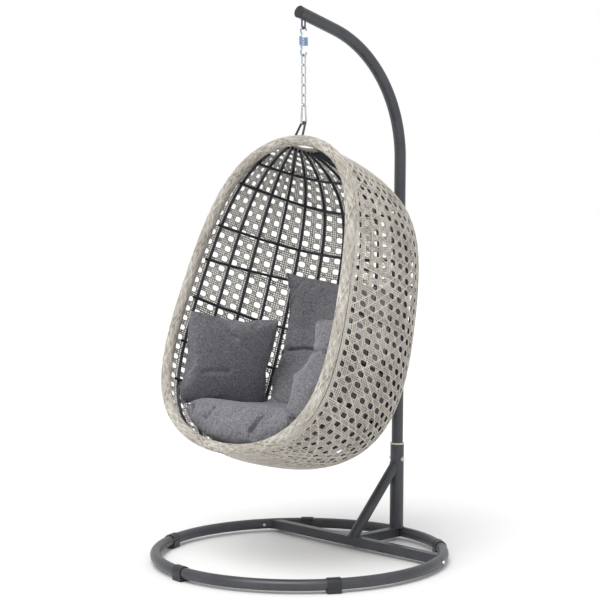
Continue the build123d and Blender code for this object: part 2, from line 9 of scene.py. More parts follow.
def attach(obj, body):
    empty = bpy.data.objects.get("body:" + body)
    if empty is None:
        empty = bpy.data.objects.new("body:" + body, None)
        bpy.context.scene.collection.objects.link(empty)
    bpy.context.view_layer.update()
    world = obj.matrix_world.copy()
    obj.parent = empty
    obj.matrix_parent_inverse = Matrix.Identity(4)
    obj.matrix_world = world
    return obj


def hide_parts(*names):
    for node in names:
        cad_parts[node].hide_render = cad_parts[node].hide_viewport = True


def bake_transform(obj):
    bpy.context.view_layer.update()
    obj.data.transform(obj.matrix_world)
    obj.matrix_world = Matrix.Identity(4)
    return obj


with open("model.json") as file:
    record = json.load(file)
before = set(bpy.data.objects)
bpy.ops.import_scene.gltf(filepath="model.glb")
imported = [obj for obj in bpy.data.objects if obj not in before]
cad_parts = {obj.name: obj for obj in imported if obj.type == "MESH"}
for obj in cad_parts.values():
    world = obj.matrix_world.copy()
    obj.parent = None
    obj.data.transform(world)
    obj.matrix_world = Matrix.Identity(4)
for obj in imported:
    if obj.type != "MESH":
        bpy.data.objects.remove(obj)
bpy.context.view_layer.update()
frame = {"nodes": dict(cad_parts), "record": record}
nodes = frame["nodes"]
scene = bpy.context.scene

# --- The basket's shape, as in the CAD, in metres ----------------------------------------------
BASKET_TOP = (0.0, -0.0058, 1.4716)
BASKET_LEAN = math.radians(18.2)
RIM_LENGTH = 1.0945
RIM_HALF_WIDTH = 0.475
RIM_WAVES = (-0.136, 0.148)
DEPTH = 0.6325
DEPTH_WAVES = (0.124, 0.143, 0.055)
BELLY_DROP = 0.038
SECTION_POWER = 2.98
SHELL_OUT = 0.012
WRAP_R = 0.0185

# --- The weave ---------------------------------------------------------------------------------
ROW_PITCH = 0.0395  # between rows of holes, down the shell
FINE_FROM = 0.190  # how far down the shell there are two columns of holes between two ribs, not one
RIB_COUNT = 17
RIB_SIDE_GAP = 0.63  # from the rim plane to the first rib, in gaps between ribs
THIRD_HOOP = 0.303  # the rib directions are spaced evenly round this level
STRAND_WIDTH = 0.0044
STRAND_THICK = 0.0017
STRAND_APART = 0.0078  # between the three strands of a line
DIAGONAL_WIDTH = 0.0046
WEAVE_RISE = 0.0009
DIAGONAL_RISE = 0.0005
WEAVE_STEP = 0.0052
BORDER_BACKS = np.linspace(0.0208, 0.0316, 3)  # where the border's strands run, behind the rim plane
BRAID_COUNT = 20
BRAID_ANGLE = math.radians(20)
BRAID_WIDTH = 0.0044
BRAID_THICK = 0.0019
BRAID_RISE = 0.0010

HANG_Y = 0.027


# --- Materials ---------------------------------------------------------------------------------
class Shader:
    """A new material with a Principled shader and short calls for its nodes."""

    def __init__(self, name, **sockets):
        self.material = bpy.data.materials.new(name)
        self.material.use_nodes = True
        self.tree = self.material.node_tree
        self.principled = self.tree.nodes["Principled BSDF"]
        for socket, value in sockets.items():
            self.principled.inputs[socket.replace("_", " ")].default_value = value

    def node(self, kind, inputs=None, **settings):
        made = self.tree.nodes.new(kind)
        for key, value in settings.items():
            setattr(made, key, value)
        for key, value in (inputs or {}).items():
            if isinstance(value, bpy.types.NodeSocket):
                self.tree.links.new(value, made.inputs[key])
            else:
                made.inputs[key].default_value = value
        return made

    def place(self, stretch=(1, 1, 1), source="Object"):
        coordinates = self.node("ShaderNodeTexCoord").outputs[source]
        return self.node("ShaderNodeMapping", {"Vector": coordinates, "Scale": stretch}).outputs[0]

    def noise(self, vector, scale, detail=2.0, roughness=0.5):
        inputs = {"Vector": vector, "Scale": scale, "Detail": detail, "Roughness": roughness}
        return self.node("ShaderNodeTexNoise", inputs).outputs["Fac"]

    def math(self, operation, a, b=0.0):
        return self.node("ShaderNodeMath", {0: a, 1: b}, operation=operation).outputs[0]

    def remap(self, value, low, high, to_low, to_high):
        inputs = {"Value": value, "From Min": low, "From Max": high, "To Min": to_low, "To Max": to_high}
        return self.node("ShaderNodeMapRange", inputs).outputs["Result"]

    def ramp(self, value, stops):
        made = self.node("ShaderNodeValToRGB", {"Fac": value})
        elements = made.color_ramp.elements
        while len(elements) < len(stops):
            elements.new(0.5)
        for element, (position, colour) in zip(elements, stops):
            element.position = position
            element.color = (*colour, 1)
        return made.outputs["Color"]

    def scaled(self, colour, factor):
        """The colour times a grey factor."""
        inputs = {0: colour, "Scale": factor}
        return self.node("ShaderNodeVectorMath", inputs, operation="SCALE").outputs[0]

    def set(self, socket, value):
        self.tree.links.new(value, self.principled.inputs[socket])

    def bump(self, height, strength, distance):
        inputs = {"Height": height, "Strength": strength, "Distance": distance}
        self.set("Normal", self.node("ShaderNodeBump", inputs).outputs[0])


def cane_material(name, dark, middle, light):
    """Round synthetic cane: each strand has its own tone, with fine streaks along it."""
    shader = Shader(name, Specular_IOR_Level=0.4)
    tint = shader.node("ShaderNodeAttribute", attribute_name="tint").outputs["Fac"]
    streak = shader.noise(shader.place((14, 7, 1), "UV"), 1.0, 3)
    patch = shader.noise(shader.place(), 9.0, 2)
    tone = shader.math("ADD", tint, shader.remap(patch, 0.3, 0.7, -0.14, 0.14))
    colour = shader.ramp(tone, [(0.0, dark), (0.5, middle), (1.0, light)])
    shader.set("Base Color", shader.scaled(colour, shader.remap(streak, 0.3, 0.7, 0.82, 1.12)))
    shader.set("Roughness", shader.remap(streak, 0.3, 0.7, 0.62, 0.44))
    shader.bump(streak, 0.5, 0.0003)
    return shader.material


def paint_material(name, base, roughness, metallic):
    """Powder-coated steel: a fine orange-peel skin with a little tone change."""
    shader = Shader(name, Metallic=metallic)
    fine = shader.noise(shader.place(), 900.0, 2)
    broad = shader.noise(shader.place(), 14.0, 3)
    colour = shader.ramp(broad, [(0.3, [c * 0.86 for c in base]), (0.7, [c * 1.16 for c in base])])
    shader.set("Base Color", shader.scaled(colour, shader.remap(fine, 0.35, 0.65, 0.88, 1.12)))
    shader.set("Roughness", shader.remap(broad, 0.3, 0.7, roughness - 0.04, roughness + 0.05))
    shader.bump(fine, 0.16, 0.0004)
    return shader.material


def plated_material(name, base, roughness, stretch=(1, 1, 1)):
    """Plated steel with the faint spangle and rubs of its finish."""
    shader = Shader(name, Metallic=1.0)
    spangle = shader.noise(shader.place(stretch), 420.0, 3)
    broad = shader.noise(shader.place(), 60.0, 2)
    colour = shader.ramp(broad, [(0.3, [c * 0.8 for c in base]), (0.7, base)])
    shader.set("Base Color", colour)
    shader.set("Roughness", shader.remap(spangle, 0.3, 0.7, roughness - 0.08, roughness + 0.12))
    shader.bump(spangle, 0.1, 0.0003)
    return shader.material


def plastic_material(name, base, roughness):
    """Moulded plastic with a fine spark-eroded grain."""
    shader = Shader(name)
    grain = shader.noise(shader.place(), 700.0, 3, 0.6)
    broad = shader.noise(shader.place(), 25.0, 2)
    colour = shader.ramp(broad, [(0.3, [c * 0.88 for c in base]), (0.7, [c * 1.1 for c in base])])
    shader.set("Base Color", colour)
    shader.set("Roughness", shader.remap(grain, 0.3, 0.7, roughness - 0.06, roughness + 0.08))
    shader.bump(grain, 0.25, 0.0004)
    return shader.material


def fabric_material(name, dark, light):
    """Heather upholstery cloth: mixed light and dark yarns in a plain weave."""
    shader = Shader(name, Roughness=0.92, Sheen_Weight=0.25, Sheen_Roughness=0.5, Specular_IOR_Level=0.2)
    warp = shader.noise(shader.place((420, 420, 90)), 1.0, 2)
    weft = shader.noise(shader.place((90, 90, 560)), 1.0, 2)
    mottle = shader.noise(shader.place(), 150.0, 3, 0.6)
    broad = shader.noise(shader.place(), 8.0, 2)
    yarn = shader.math("MAXIMUM", warp, weft)
    mixed = shader.math("ADD", shader.math("MULTIPLY", yarn, 0.62), shader.math("MULTIPLY", mottle, 0.38))
    colour = shader.ramp(mixed, [(0.4, dark), (0.66, light)])
    shader.set("Base Color", shader.scaled(colour, shader.remap(broad, 0.3, 0.7, 0.92, 1.08)))
    shader.bump(yarn, 0.55, 0.0012)
    return shader.material


MATERIALS = {
    "frame_paint": paint_material("anthracite_powder_coat", (0.058, 0.061, 0.069), 0.36, 0.25),
    "black_steel": paint_material("black_steel_paint", (0.030, 0.035, 0.045), 0.34, 0.25),
    "bare_steel": plated_material("bare_steel", (0.50, 0.50, 0.50), 0.36),
    "zinc_steel": plated_material("zinc_plate", (0.66, 0.67, 0.69), 0.28),
    "blue_zinc": plated_material("blue_zinc_plate", (0.36, 0.47, 0.64), 0.30),
    "cream_plastic": plastic_material("cream_plastic", (0.74, 0.66, 0.50), 0.5),
    "black_plastic": plastic_material("black_plastic", (0.018, 0.019, 0.022), 0.42),
    "woven_cane": cane_material("cane", (0.30, 0.27, 0.225), (0.50, 0.465, 0.41), (0.68, 0.65, 0.60)),
    "grey_fabric": fabric_material("heather_cloth", (0.075, 0.075, 0.086), (0.250, 0.248, 0.270)),
    "pillow_fabric": fabric_material("pillow_cloth", (0.066, 0.066, 0.077), (0.215, 0.213, 0.235)),
}

for part in frame["record"]["subparts"]:
    surface = nodes[part["node"]]
    for material_slot in surface.material_slots:
        material_slot.material = MATERIALS[part["material_slot"]]


# --- Making meshes -----------------------------------------------------------------------------
def unit(vectors):
    return vectors / np.linalg.norm(vectors, axis=-1, keepdims=True)


def piece_from(name, co, faces, slot):
    mesh = bpy.data.meshes.new(name)
    mesh.from_pydata(co.tolist(), [], faces)
    mesh.polygons.foreach_set("use_smooth", [True] * len(mesh.polygons))
    mesh.materials.append(MATERIALS[slot])
    piece = bpy.data.objects.new(name, mesh)
    scene.collection.objects.link(piece)
    return piece


class Strands:
    """Strands of one oval section, gathered into one mesh."""

    def __init__(self, width, thick, sides):
        turn = np.arange(sides) * 2 * math.pi / sides
        self.section = np.stack((width / 2 * np.cos(turn), thick / 2 * np.sin(turn)), 1)
        self.co, self.quads, self.caps, self.uv, self.tint = [], [], [], [], []
        self.count = 0

    def add(self, points, normals, tint, scale=None):
        """One strand through the points, its flat side square to the normals."""
        along = unit(np.gradient(points, axis=0))
        across = unit(np.cross(normals, along))
        out = np.cross(along, across)
        n, k = len(points), len(self.section)
        section = np.broadcast_to(self.section, (n, k, 2))
        if scale is not None:
            section = section * scale[:, None, None]
        ring = points[:, None] + section[..., :1] * across[:, None] + section[..., 1:] * out[:, None]
        i = self.count + np.arange(n - 1)[:, None] * k
        j, j_next = np.arange(k)[None], (np.arange(k)[None] + 1) % k
        quads = np.stack((i + j, i + j_next, i + j_next + k, i + j + k), -1)
        length = running_length(points)
        u = np.broadcast_to(np.stack((length[:-1],) * 2 + (length[1:],) * 2, -1)[:, None], (n - 1, k, 4))
        v = np.stack((j, j + 1, j + 1, j), -1) / k
        self.uv.append(np.stack((u, np.broadcast_to(v, u.shape)), -1).reshape(-1, 2))
        self.co.append(ring.reshape(-1, 3))
        self.quads += quads.reshape(-1, 4).tolist()
        last = self.count + (n - 1) * k
        self.caps += [list(range(self.count + k - 1, self.count - 1, -1)), list(range(last, last + k))]
        self.tint.append(np.full(n * k, tint))
        self.count += n * k

    def piece(self, name, slot, body, *replaced):
        made = piece_from(name, np.concatenate(self.co), self.quads + self.caps, slot)
        uv = np.concatenate(self.uv)
        cap_loops = sum(len(cap) for cap in self.caps)
        layer = made.data.uv_layers.new(name="strand")
        layer.data.foreach_set("uv", np.concatenate((uv, np.zeros((cap_loops, 2)))).ravel())
        tint = made.data.attributes.new("tint", "FLOAT", "POINT")
        tint.data.foreach_set("value", np.concatenate(self.tint).astype(np.float32))
        if body:
            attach(made, body)
        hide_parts(*replaced)
        return made


# --- The basket's surface ----------------------------------------------------------------------
def wave(angle, factors):
    total = 1.0 + sum(factor * np.cos(angle * (i + 1)) for i, factor in enumerate(factors))
    return np.sin(angle) * total


def running_length(points):
    """The length of a line of points, from its start to each of them."""
    steps = np.linalg.norm(np.diff(points, axis=0), axis=1)
    return np.concatenate(([0], np.cumsum(steps)))


def shell_point(angle, direction, inset):
    """The shell in the basket's frame: angle goes down the rim line from 0 to pi, direction round
    the level section from +X over the back. inset counts from the outer face."""
    w = RIM_HALF_WIDTH * wave(angle, RIM_WAVES) + SHELL_OUT - inset
    deep = DEPTH * wave(angle, DEPTH_WAVES) + SHELL_OUT - inset
    low = (1 - np.cos(angle)) / 2
    sag = 4 * BELLY_DROP * np.sin(angle) * low * low / (DEPTH * wave(angle, DEPTH_WAVES))
    across = np.abs(np.cos(direction) / w) ** SECTION_POWER
    behind = np.abs(np.sin(direction) / deep) ** SECTION_POWER
    reach = (across + behind) ** (-1 / SECTION_POWER)
    back = reach * np.sin(direction)
    down = -RIM_LENGTH * low - sag * back
    middle = -RIM_LENGTH / 2
    down = middle + (down - middle) * (1 - 2 * inset / RIM_LENGTH)
    return np.stack((reach * np.cos(direction), back, down), -1)


def shell_frame(angle, direction, inset):
    """Points of the shell and its outward normals there."""
    here = shell_point(angle, direction, inset)
    step = 1e-4
    level = shell_point(angle, direction + step, inset) - here
    down = shell_point(angle + step, direction, inset) - here
    return here, unit(np.cross(down, level))


def turned(vectors):
    """Directions from the basket's frame to the world."""
    c, s = math.cos(BASKET_LEAN), math.sin(BASKET_LEAN)
    x, back, up = vectors[..., 0], vectors[..., 1], vectors[..., 2]
    return np.stack((x, back * c + up * s, up * c - back * s), -1)


def to_world(points):
    return turned(points) + np.array(BASKET_TOP)


def to_basket(points):
    c, s = math.cos(BASKET_LEAN), math.sin(BASKET_LEAN)
    x, y, z = np.moveaxis(points - np.array(BASKET_TOP), -1, 0)
    return np.stack((x, y * c - z * s, y * s + z * c), -1)


class WeavePlane:
    """The shell as columns and rows: a column keeps its direction round the shell, as the ribs do,
    with two columns to each gap between ribs, and a row keeps its distance down the shell."""

    def __init__(self, inset):
        self.inset = inset
        self.angles = np.radians(np.linspace(3, 178.5, 1400))
        down = shell_point(self.angles, math.radians(50), inset)
        self.down = running_length(down)
        self.rows = self.down[-1] / ROW_PITCH
        self.directions = np.linspace(0, math.pi, 721)
        middle = math.acos(1 - 2 * THIRD_HOOP / RIM_LENGTH)
        self.walk = running_length(shell_point(np.full(721, middle), self.directions, 0))
        self.gap = self.walk[-1] / (RIB_COUNT - 1 + 2 * RIB_SIDE_GAP)
        self.columns = 2 * (RIB_COUNT - 1 + RIB_SIDE_GAP)

    def place(self, column, row):
        """Shell points and normals, column 0 being the first rib."""
        angle = np.interp(row * ROW_PITCH, self.down, self.angles)
        direction = np.interp((column / 2 + RIB_SIDE_GAP) * self.gap, self.walk, self.directions)
        return shell_frame(angle, direction, self.inset)

    def column_width(self, row):
        """How wide one column is in the middle of each row."""
        low, _ = self.place(np.full_like(row, RIB_COUNT - 1.5), row)
        high, _ = self.place(np.full_like(row, RIB_COUNT - 0.5), row)
        return np.linalg.norm(high - low, axis=-1)


def runs_of(mask):
    """Ranges of consecutive True values."""
    edges = np.flatnonzero(np.diff(np.concatenate(([0], mask.astype(int), [0]))))
    return zip(edges[::2], edges[1::2])


def weave_shell():
    """Cane webbing: lines of three strands down and across the shell, and single diagonal strands
    that round off the holes between them. Near the top there is one column between two ribs."""
    plane = WeavePlane(0.002)
    rng = np.random.default_rng(11)
    fine_row = round(FINE_FROM / ROW_PITCH)
    zones = ((1, fine_row, int(plane.rows)), (2, 0.4, fine_row))
    made = {}

    def lay(name, column, row, rise, width=STRAND_WIDTH):
        points, normals = plane.place(column, row)
        points = points + normals * rise[:, None]
        inside = (column > -2 * RIB_SIDE_GAP) & (column < plane.columns)
        kept = inside & (points[:, 1] > BORDER_BACKS[-1] - 0.004)
        strands = made.setdefault(name, Strands(width, STRAND_THICK, 6))
        tint = float(np.clip(rng.normal(0.5, 0.2), 0, 1))
        for start, end in runs_of(kept):
            if end - start > 2:
                part = slice(start, end)
                strands.add(to_world(points[part]), turned(normals[part]), tint)

    for step, top, bottom in zones:
        rows = np.arange(top, bottom + 0.01, WEAVE_STEP / ROW_PITCH)
        narrow = plane.column_width(rows)
        side_shift = STRAND_APART / np.maximum(narrow, STRAND_APART * 3 / step)
        first, last = -2, int(plane.columns) + 2
        for line in range(first, last + 1, step):
            swing = WEAVE_RISE * np.cos(math.pi * (rows + line / step))
            for side in (-1, 0, 1):
                lay(f"weave_down_{line // step % 2 + 1}", line + side * side_shift, rows, swing)
        columns = np.arange(first, last, WEAVE_STEP / 0.040)
        for line in range(math.ceil(top), math.floor(bottom) + 1):
            swing = -WEAVE_RISE * np.cos(math.pi * (columns / step + line))
            for side in (-1, 0, 1):
                row = np.full_like(columns, line + side * STRAND_APART / ROW_PITCH)
                lay(f"weave_across_{line % 2 + 1}", columns, row, swing)
        fine = np.arange(top, bottom + 0.01, WEAVE_STEP / ROW_PITCH / 1.41)
        for way, name in ((1, "rising"), (-1, "falling")):
            reach = bottom - top
            starts = range(int(first / step - reach) - 1, int(last / step + reach) + 2)
            for start in starts:
                column = step * (start + 0.5 + way * (fine - fine_row))
                swing = DIAGONAL_RISE * (1 + 0.6 * way * np.cos(2 * math.pi * fine))
                lay(f"weave_{name}", column, fine, swing, DIAGONAL_WIDTH)
    for name, strands in made.items():
        strands.piece(name, "woven_cane", "basket", "woven_shell")


def border_curve(back):
    """The closed line on the shell at one distance behind the rim plane, from its lowest point."""
    angles = np.linspace(0.005, math.pi - 0.005, 20000)
    inset = 0.002
    deep = DEPTH * wave(angles, DEPTH_WAVES) + SHELL_OUT - inset
    w = RIM_HALF_WIDTH * wave(angles, RIM_WAVES) + SHELL_OUT - inset
    angles, deep, w = (values[deep > back] for values in (angles, deep, w))
    x = w * (1 - (back / deep) ** SECTION_POWER) ** (1 / SECTION_POWER)
    directions = np.arctan2(back, x)
    angles = np.concatenate((angles[::-1], angles))
    directions = np.concatenate((directions[::-1], math.pi - directions))
    rough = shell_point(angles, directions, inset)
    run = running_length(rough)
    marks = np.linspace(0, run[-1], int(run[-1] / WEAVE_STEP))
    return shell_frame(np.interp(marks, run, angles), np.interp(marks, run, directions), inset) + (marks,)


def weave_border():
    """The close rows beside the rim, before the holes start."""
    strands = Strands(0.0054, 0.0024, 6)
    rng = np.random.default_rng(5)
    for number, back in enumerate(BORDER_BACKS):
        points, normals, marks = border_curve(back)
        rise = 0.0007 * np.cos(math.pi * (marks / 0.011 + number))
        points = points + normals * rise[:, None]
        strands.add(to_world(points), turned(normals), float(rng.uniform(0.4, 0.7)))
    strands.piece("weave_border", "woven_cane", "basket", "woven_shell")


def braid_rim():
    """The rim's cover: a twill braid, each strand over two and under two."""
    turn = np.linspace(-math.pi, math.pi, 4001)
    x = RIM_HALF_WIDTH * wave(turn, RIM_WAVES)
    line = np.stack((x, np.zeros_like(x), -RIM_LENGTH / 2 * (1 - np.cos(turn))), -1)
    run = running_length(line)
    radius = WRAP_R - BRAID_RISE - BRAID_THICK / 2
    crossings = 2 * round(run[-1] * math.tan(BRAID_ANGLE) * BRAID_COUNT / (math.pi * radius) / 2)
    marks = np.linspace(0, run[-1], int(crossings * 1.6))
    centre = np.stack([np.interp(marks, run, line[:, i]) for i in range(3)], -1)
    along = unit(np.gradient(centre, axis=0))
    along[0] = along[-1] = (1, 0, 0)
    plane_normal = np.array((0.0, 1.0, 0.0))
    outward = np.cross(along, plane_normal)
    progress = marks / run[-1] * crossings
    rng = np.random.default_rng(23)
    for way, name in ((1, "rim_braid_1"), (-1, "rim_braid_2")):
        strands = Strands(BRAID_WIDTH, BRAID_THICK, 6)
        for strand in range(BRAID_COUNT):
            theta = 2 * math.pi * strand / BRAID_COUNT + way * progress * math.pi / BRAID_COUNT
            rise = way * BRAID_RISE * np.cos(math.pi / 2 * (2 * strand + way * progress) + math.pi / 4)
            radial = np.cos(theta)[:, None] * plane_normal + np.sin(theta)[:, None] * outward
            points = centre + (radius + rise)[:, None] * radial
            strands.add(to_world(points), turned(radial), float(np.clip(rng.normal(0.58, 0.26), 0, 1)))
        strands.piece(name, "woven_cane", "basket", "rim_wrap")


# --- Hanging gear and welds --------------------------------------------------------------------
def round_bar(points, radius, sides=16):
    """Rings round a line of points, turning as little as they can."""
    points = np.asarray(points, float)
    along = unit(np.gradient(points, axis=0))
    normal = unit(np.cross(along[0], (0.3, 0.9, 0.27)))
    normals = []
    for direction in along:
        normal = unit(normal - direction * normal.dot(direction))
        normals.append(normal)
    strands = Strands(2 * radius, 2 * radius, sides)
    strands.add(points, np.array(normals), 0.5)
    return strands


def coil_spring():
    """The spring wound from one wire, with a hook bent up at each end."""
    wire, coil_r, turns = 0.003, 0.013, 5
    top_hook, coil_top, coil_bottom, bottom_hook = 1.8513, 1.8323, 1.7963, 1.7773
    centre = np.array((0, HANG_Y, 0))
    hook = np.radians(np.linspace(0, 235, 34))
    arc = np.stack((np.zeros_like(hook), coil_r * np.cos(hook), coil_r * np.sin(hook)), -1)
    low_hook = arc * (1, 1, -1) + (0, 0, bottom_hook)
    high_hook = arc[::-1] + (0, 0, top_hook)
    turn = np.linspace(0, 2 * math.pi * turns, 40 * turns + 1)
    rise = (coil_top - coil_bottom - 2 * wire) * turn / turn[-1]
    coil = np.stack((coil_r * np.sin(turn), -coil_r * np.cos(turn), coil_bottom + wire + rise), -1)
    line = np.concatenate((low_hook, coil, high_hook)) + centre
    run = running_length(line)
    marks = np.linspace(0, run[-1], 420)
    line = np.stack([np.interp(marks, run, line[:, i]) for i in range(3)], -1)
    for _ in range(3):
        line[1:-1] = (line[:-2] + 2 * line[1:-1] + line[2:]) / 4
    made = round_bar(line, wire - 0.00006).piece("spring_wire", "blue_zinc", None, "spring")
    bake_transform(made)


def weld_bead(name, line):
    """A bead of weld with its scale-like ripples, round a closed line."""
    line = np.concatenate((line, line[:1]))
    run = running_length(line)
    marks = np.linspace(0, run[-1], int(run[-1] / 0.0007))
    line = np.stack([np.interp(marks, run, line[:, i]) for i in range(3)], -1)
    scale = 1 + 0.16 * np.abs(np.sin(math.pi * marks / 0.0026))
    strands = round_bar(line, 0.0024, 10)
    co = strands.co[0].reshape(len(line), -1, 3)
    strands.co[0] = (line[:, None] + (co - line[:, None]) * scale[:, None, None]).reshape(-1, 3)
    strands.piece(name, "frame_paint", "stand")


def weld_beads():
    """The welds of the post, the brace and the bars on the ring."""
    ring_r, tube_r, ring_z, bar_half, crossbar_y = 0.506, 0.019, 0.028, 0.017, 0.264
    post_r, brace_r = 0.0254, 0.019
    turn = np.linspace(0, 2 * math.pi, 240, endpoint=False)
    post_y = 0.4905 + 0.045 * math.tan(math.radians(0.8))
    x, y = post_r * np.cos(turn), post_y + post_r * np.sin(turn)
    over = tube_r ** 2 - (np.hypot(x, y) - ring_r) ** 2
    z = np.maximum(ring_z + bar_half, ring_z + np.sqrt(np.maximum(over, 0)))
    weld_bead("weld_post", np.stack((x, y, z), -1))
    foot, head = np.array((0, 0.268, 0.045)), np.array((0, 0.491, 0.289))
    axis = unit(head - foot)
    side = np.cross(axis, (1, 0, 0))
    round_brace = brace_r * (np.cos(turn)[:, None] * np.array((1, 0, 0)) + np.sin(turn)[:, None] * side)
    lift = (foot[2] - (foot + round_brace)[:, 2]) / axis[2]
    weld_bead("weld_brace_foot", foot + round_brace + lift[:, None] * axis)
    rake = np.array((0, math.sin(math.radians(0.8)), math.cos(math.radians(0.8))))
    start = foot + round_brace - (0, 0.4905, 0)
    start = start - (start @ rake)[:, None] * rake
    slope = axis - axis.dot(rake) * rake
    a, b = slope.dot(slope), 2 * start @ slope
    c = (start * start).sum(1) - post_r ** 2
    reach = (-b - np.sqrt(b * b - 4 * a * c)) / (2 * a)
    weld_bead("weld_brace_head", foot + round_brace + reach[:, None] * axis)
    flat_share = 1.32  # how far the sides of the square section stay flat
    corner = [np.clip(flat_share * wave_of(turn), -1, 1) * bar_half for wave_of in (np.cos, np.sin)]
    for sign, name in ((1, "right"), (-1, "left")):
        across, up = corner[0] + crossbar_y, np.clip(corner[1], -0.0169, 0.0169)
        radius = ring_r - np.sqrt(tube_r ** 2 - up ** 2)
        line = np.stack((sign * np.sqrt(radius ** 2 - across ** 2), across, ring_z + up), -1)
        weld_bead(f"weld_crossbar_{name}", line)


# --- Cushions ----------------------------------------------------------------------------------
def coordinates(mesh):
    co = np.empty(len(mesh.vertices) * 3)
    mesh.vertices.foreach_get("co", co)
    return co.reshape(-1, 3)


def move_to(piece, co):
    """Puts the piece's vertices at new places."""
    piece.data.vertices.foreach_set("co", co.ravel())
    piece.data.update()


def normals_of(mesh):
    normals = np.empty(len(mesh.vertices) * 3)
    mesh.vertices.foreach_get("normal", normals)
    return normals.reshape(-1, 3)


def evaluated_mesh(piece):
    graph = bpy.context.evaluated_depsgraph_get()
    return bpy.data.meshes.new_from_object(piece.evaluated_get(graph))


def bake_modifiers(piece):
    piece.data = evaluated_mesh(piece)
    piece.modifiers.clear()


def remeshed(name, node, voxel, shrink, rounds):
    """A CAD solid as an even quad mesh with its edges rounded and its surface drawn in."""
    piece = bpy.data.objects.new(name, nodes[node].data.copy())
    scene.collection.objects.link(piece)
    remesh = piece.modifiers.new("remesh", "REMESH")
    remesh.mode = "VOXEL"
    remesh.voxel_size = voxel
    smooth = piece.modifiers.new("smooth", "SMOOTH")
    smooth.factor = 0.5
    smooth.iterations = rounds
    bake_modifiers(piece)
    co = coordinates(piece.data) - normals_of(piece.data) * shrink
    move_to(piece, co)
    return piece


def swell(piece, pressure, slack, cap, frames=20, bending=0.5):
    """Blows the piece up as cloth and keeps every point within the cap of where it began."""
    start = coordinates(piece.data)
    cloth = piece.modifiers.new("cloth", "CLOTH")
    settings = cloth.settings
    settings.quality = 5
    settings.mass = 0.3
    settings.bending_stiffness = bending
    settings.use_pressure = True
    settings.uniform_pressure_force = pressure
    settings.shrink_min = -slack
    settings.effector_weights.gravity = 0
    cloth.collision_settings.use_collision = False
    cloth.point_cache.frame_start = 1
    cloth.point_cache.frame_end = frames
    for number in range(1, frames + 1):
        scene.frame_set(number)
        bpy.context.view_layer.update()
    bake_modifiers(piece)
    move = coordinates(piece.data) - start
    length = np.maximum(np.linalg.norm(move, axis=1, keepdims=True), 1e-9)
    co = start + move / length * cap * np.tanh(length / cap)
    move_to(piece, co)
    scene.frame_set(1)


def subdivide(piece):
    modifier = piece.modifiers.new("subdivision", "SUBSURF")
    modifier.levels = modifier.render_levels = 1
    bake_modifiers(piece)


def level_room(down, back):
    """The angle down the rim line of points given by how far down and back they are."""
    guess = np.arccos(np.clip(1 + 2 * down / RIM_LENGTH, -1, 1))
    for _ in range(6):
        low = (1 - np.cos(guess)) / 2
        sag = 4 * BELLY_DROP * np.sin(guess) * low * low / (DEPTH * wave(guess, DEPTH_WAVES))
        guess = np.arccos(np.clip(1 + 2 * (down + sag * back) / RIM_LENGTH, -0.9999, 0.9999))
    return np.clip(guess, math.radians(1), math.radians(179))


def keep_in_basket(co, inset):
    """Points drawn in level, where they would stand closer to the shell's face than inset."""
    points = to_basket(co)
    x, back, down = points.T
    back = np.maximum(back, 0)
    angle = level_room(down, back)
    w = np.maximum(RIM_HALF_WIDTH * wave(angle, RIM_WAVES) + SHELL_OUT - inset, 0.02)
    deep = np.maximum(DEPTH * wave(angle, DEPTH_WAVES) + SHELL_OUT - inset, 0.02)
    share = (np.abs(x / w) ** SECTION_POWER + (back / deep) ** SECTION_POWER) ** (1 / SECTION_POWER)
    pull = 1 / np.maximum(share, 1)
    points[:, 0] *= pull
    points[:, 1] = np.where(points[:, 1] > 0, points[:, 1] * pull, points[:, 1])
    return to_world(points)


CREASE_REACH = 0.045  # how far from the surface a crease's points may lie
CUSHION_INSET = 0.026  # the least level distance from the shell's outer face to a cushion
PILLOW_INSET = 0.028
PILLOW_HALF = 0.176
# Creases and seams: points along each, how deep it is and how wide.
MAIN_CREASE = ((0.134, -0.300, 0.556), (0.111, -0.327, 0.520), (0.099, -0.333, 0.500), (0.118, -0.342, 0.470))
SEAT_CREASES = (
    (MAIN_CREASE, 0.020, 0.008),
    (((0.044, -0.330, 0.482), (0.050, -0.347, 0.455)), 0.012, 0.006),
    (((-0.121, -0.300, 0.560), (-0.140, -0.320, 0.542), (-0.160, -0.326, 0.520)), 0.014, 0.008),
    (((-0.235, -0.300, 0.556), (-0.230, -0.327, 0.520)), 0.016, 0.009),
)
BACK_SEAM = (
    (-0.262, 0.130, 0.712),
    (-0.186, 0.199, 0.717),
    (0.0, 0.240, 0.720),
    (0.190, 0.205, 0.717),
    (0.262, 0.150, 0.712),
)
BACK_CREASES = ((BACK_SEAM, 0.014, 0.007),)
WING_CREASES = ((((0.21, -0.10, 0.735), (0.28, -0.16, 0.760), (0.34, -0.19, 0.765)), 0.012, 0.010),)
PILLOW_CREASES = (
    (((-0.290, -0.195, 0.862), (-0.262, -0.125, 0.812), (-0.246, -0.085, 0.775)), 0.010, 0.011),
    (((-0.322, -0.272, 0.710), (-0.309, -0.240, 0.700), (-0.297, -0.213, 0.689)), 0.005, 0.008),
    (((-0.290, -0.195, 0.652), (-0.274, -0.154, 0.657), (-0.255, -0.110, 0.652)), 0.005, 0.009),
)


def finish_cushion(piece, slot, node):
    piece.data.polygons.foreach_set("use_smooth", [True] * len(piece.data.polygons))
    piece.data.materials.clear()
    piece.data.materials.append(MATERIALS[slot])
    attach(piece, "basket")
    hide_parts(node)


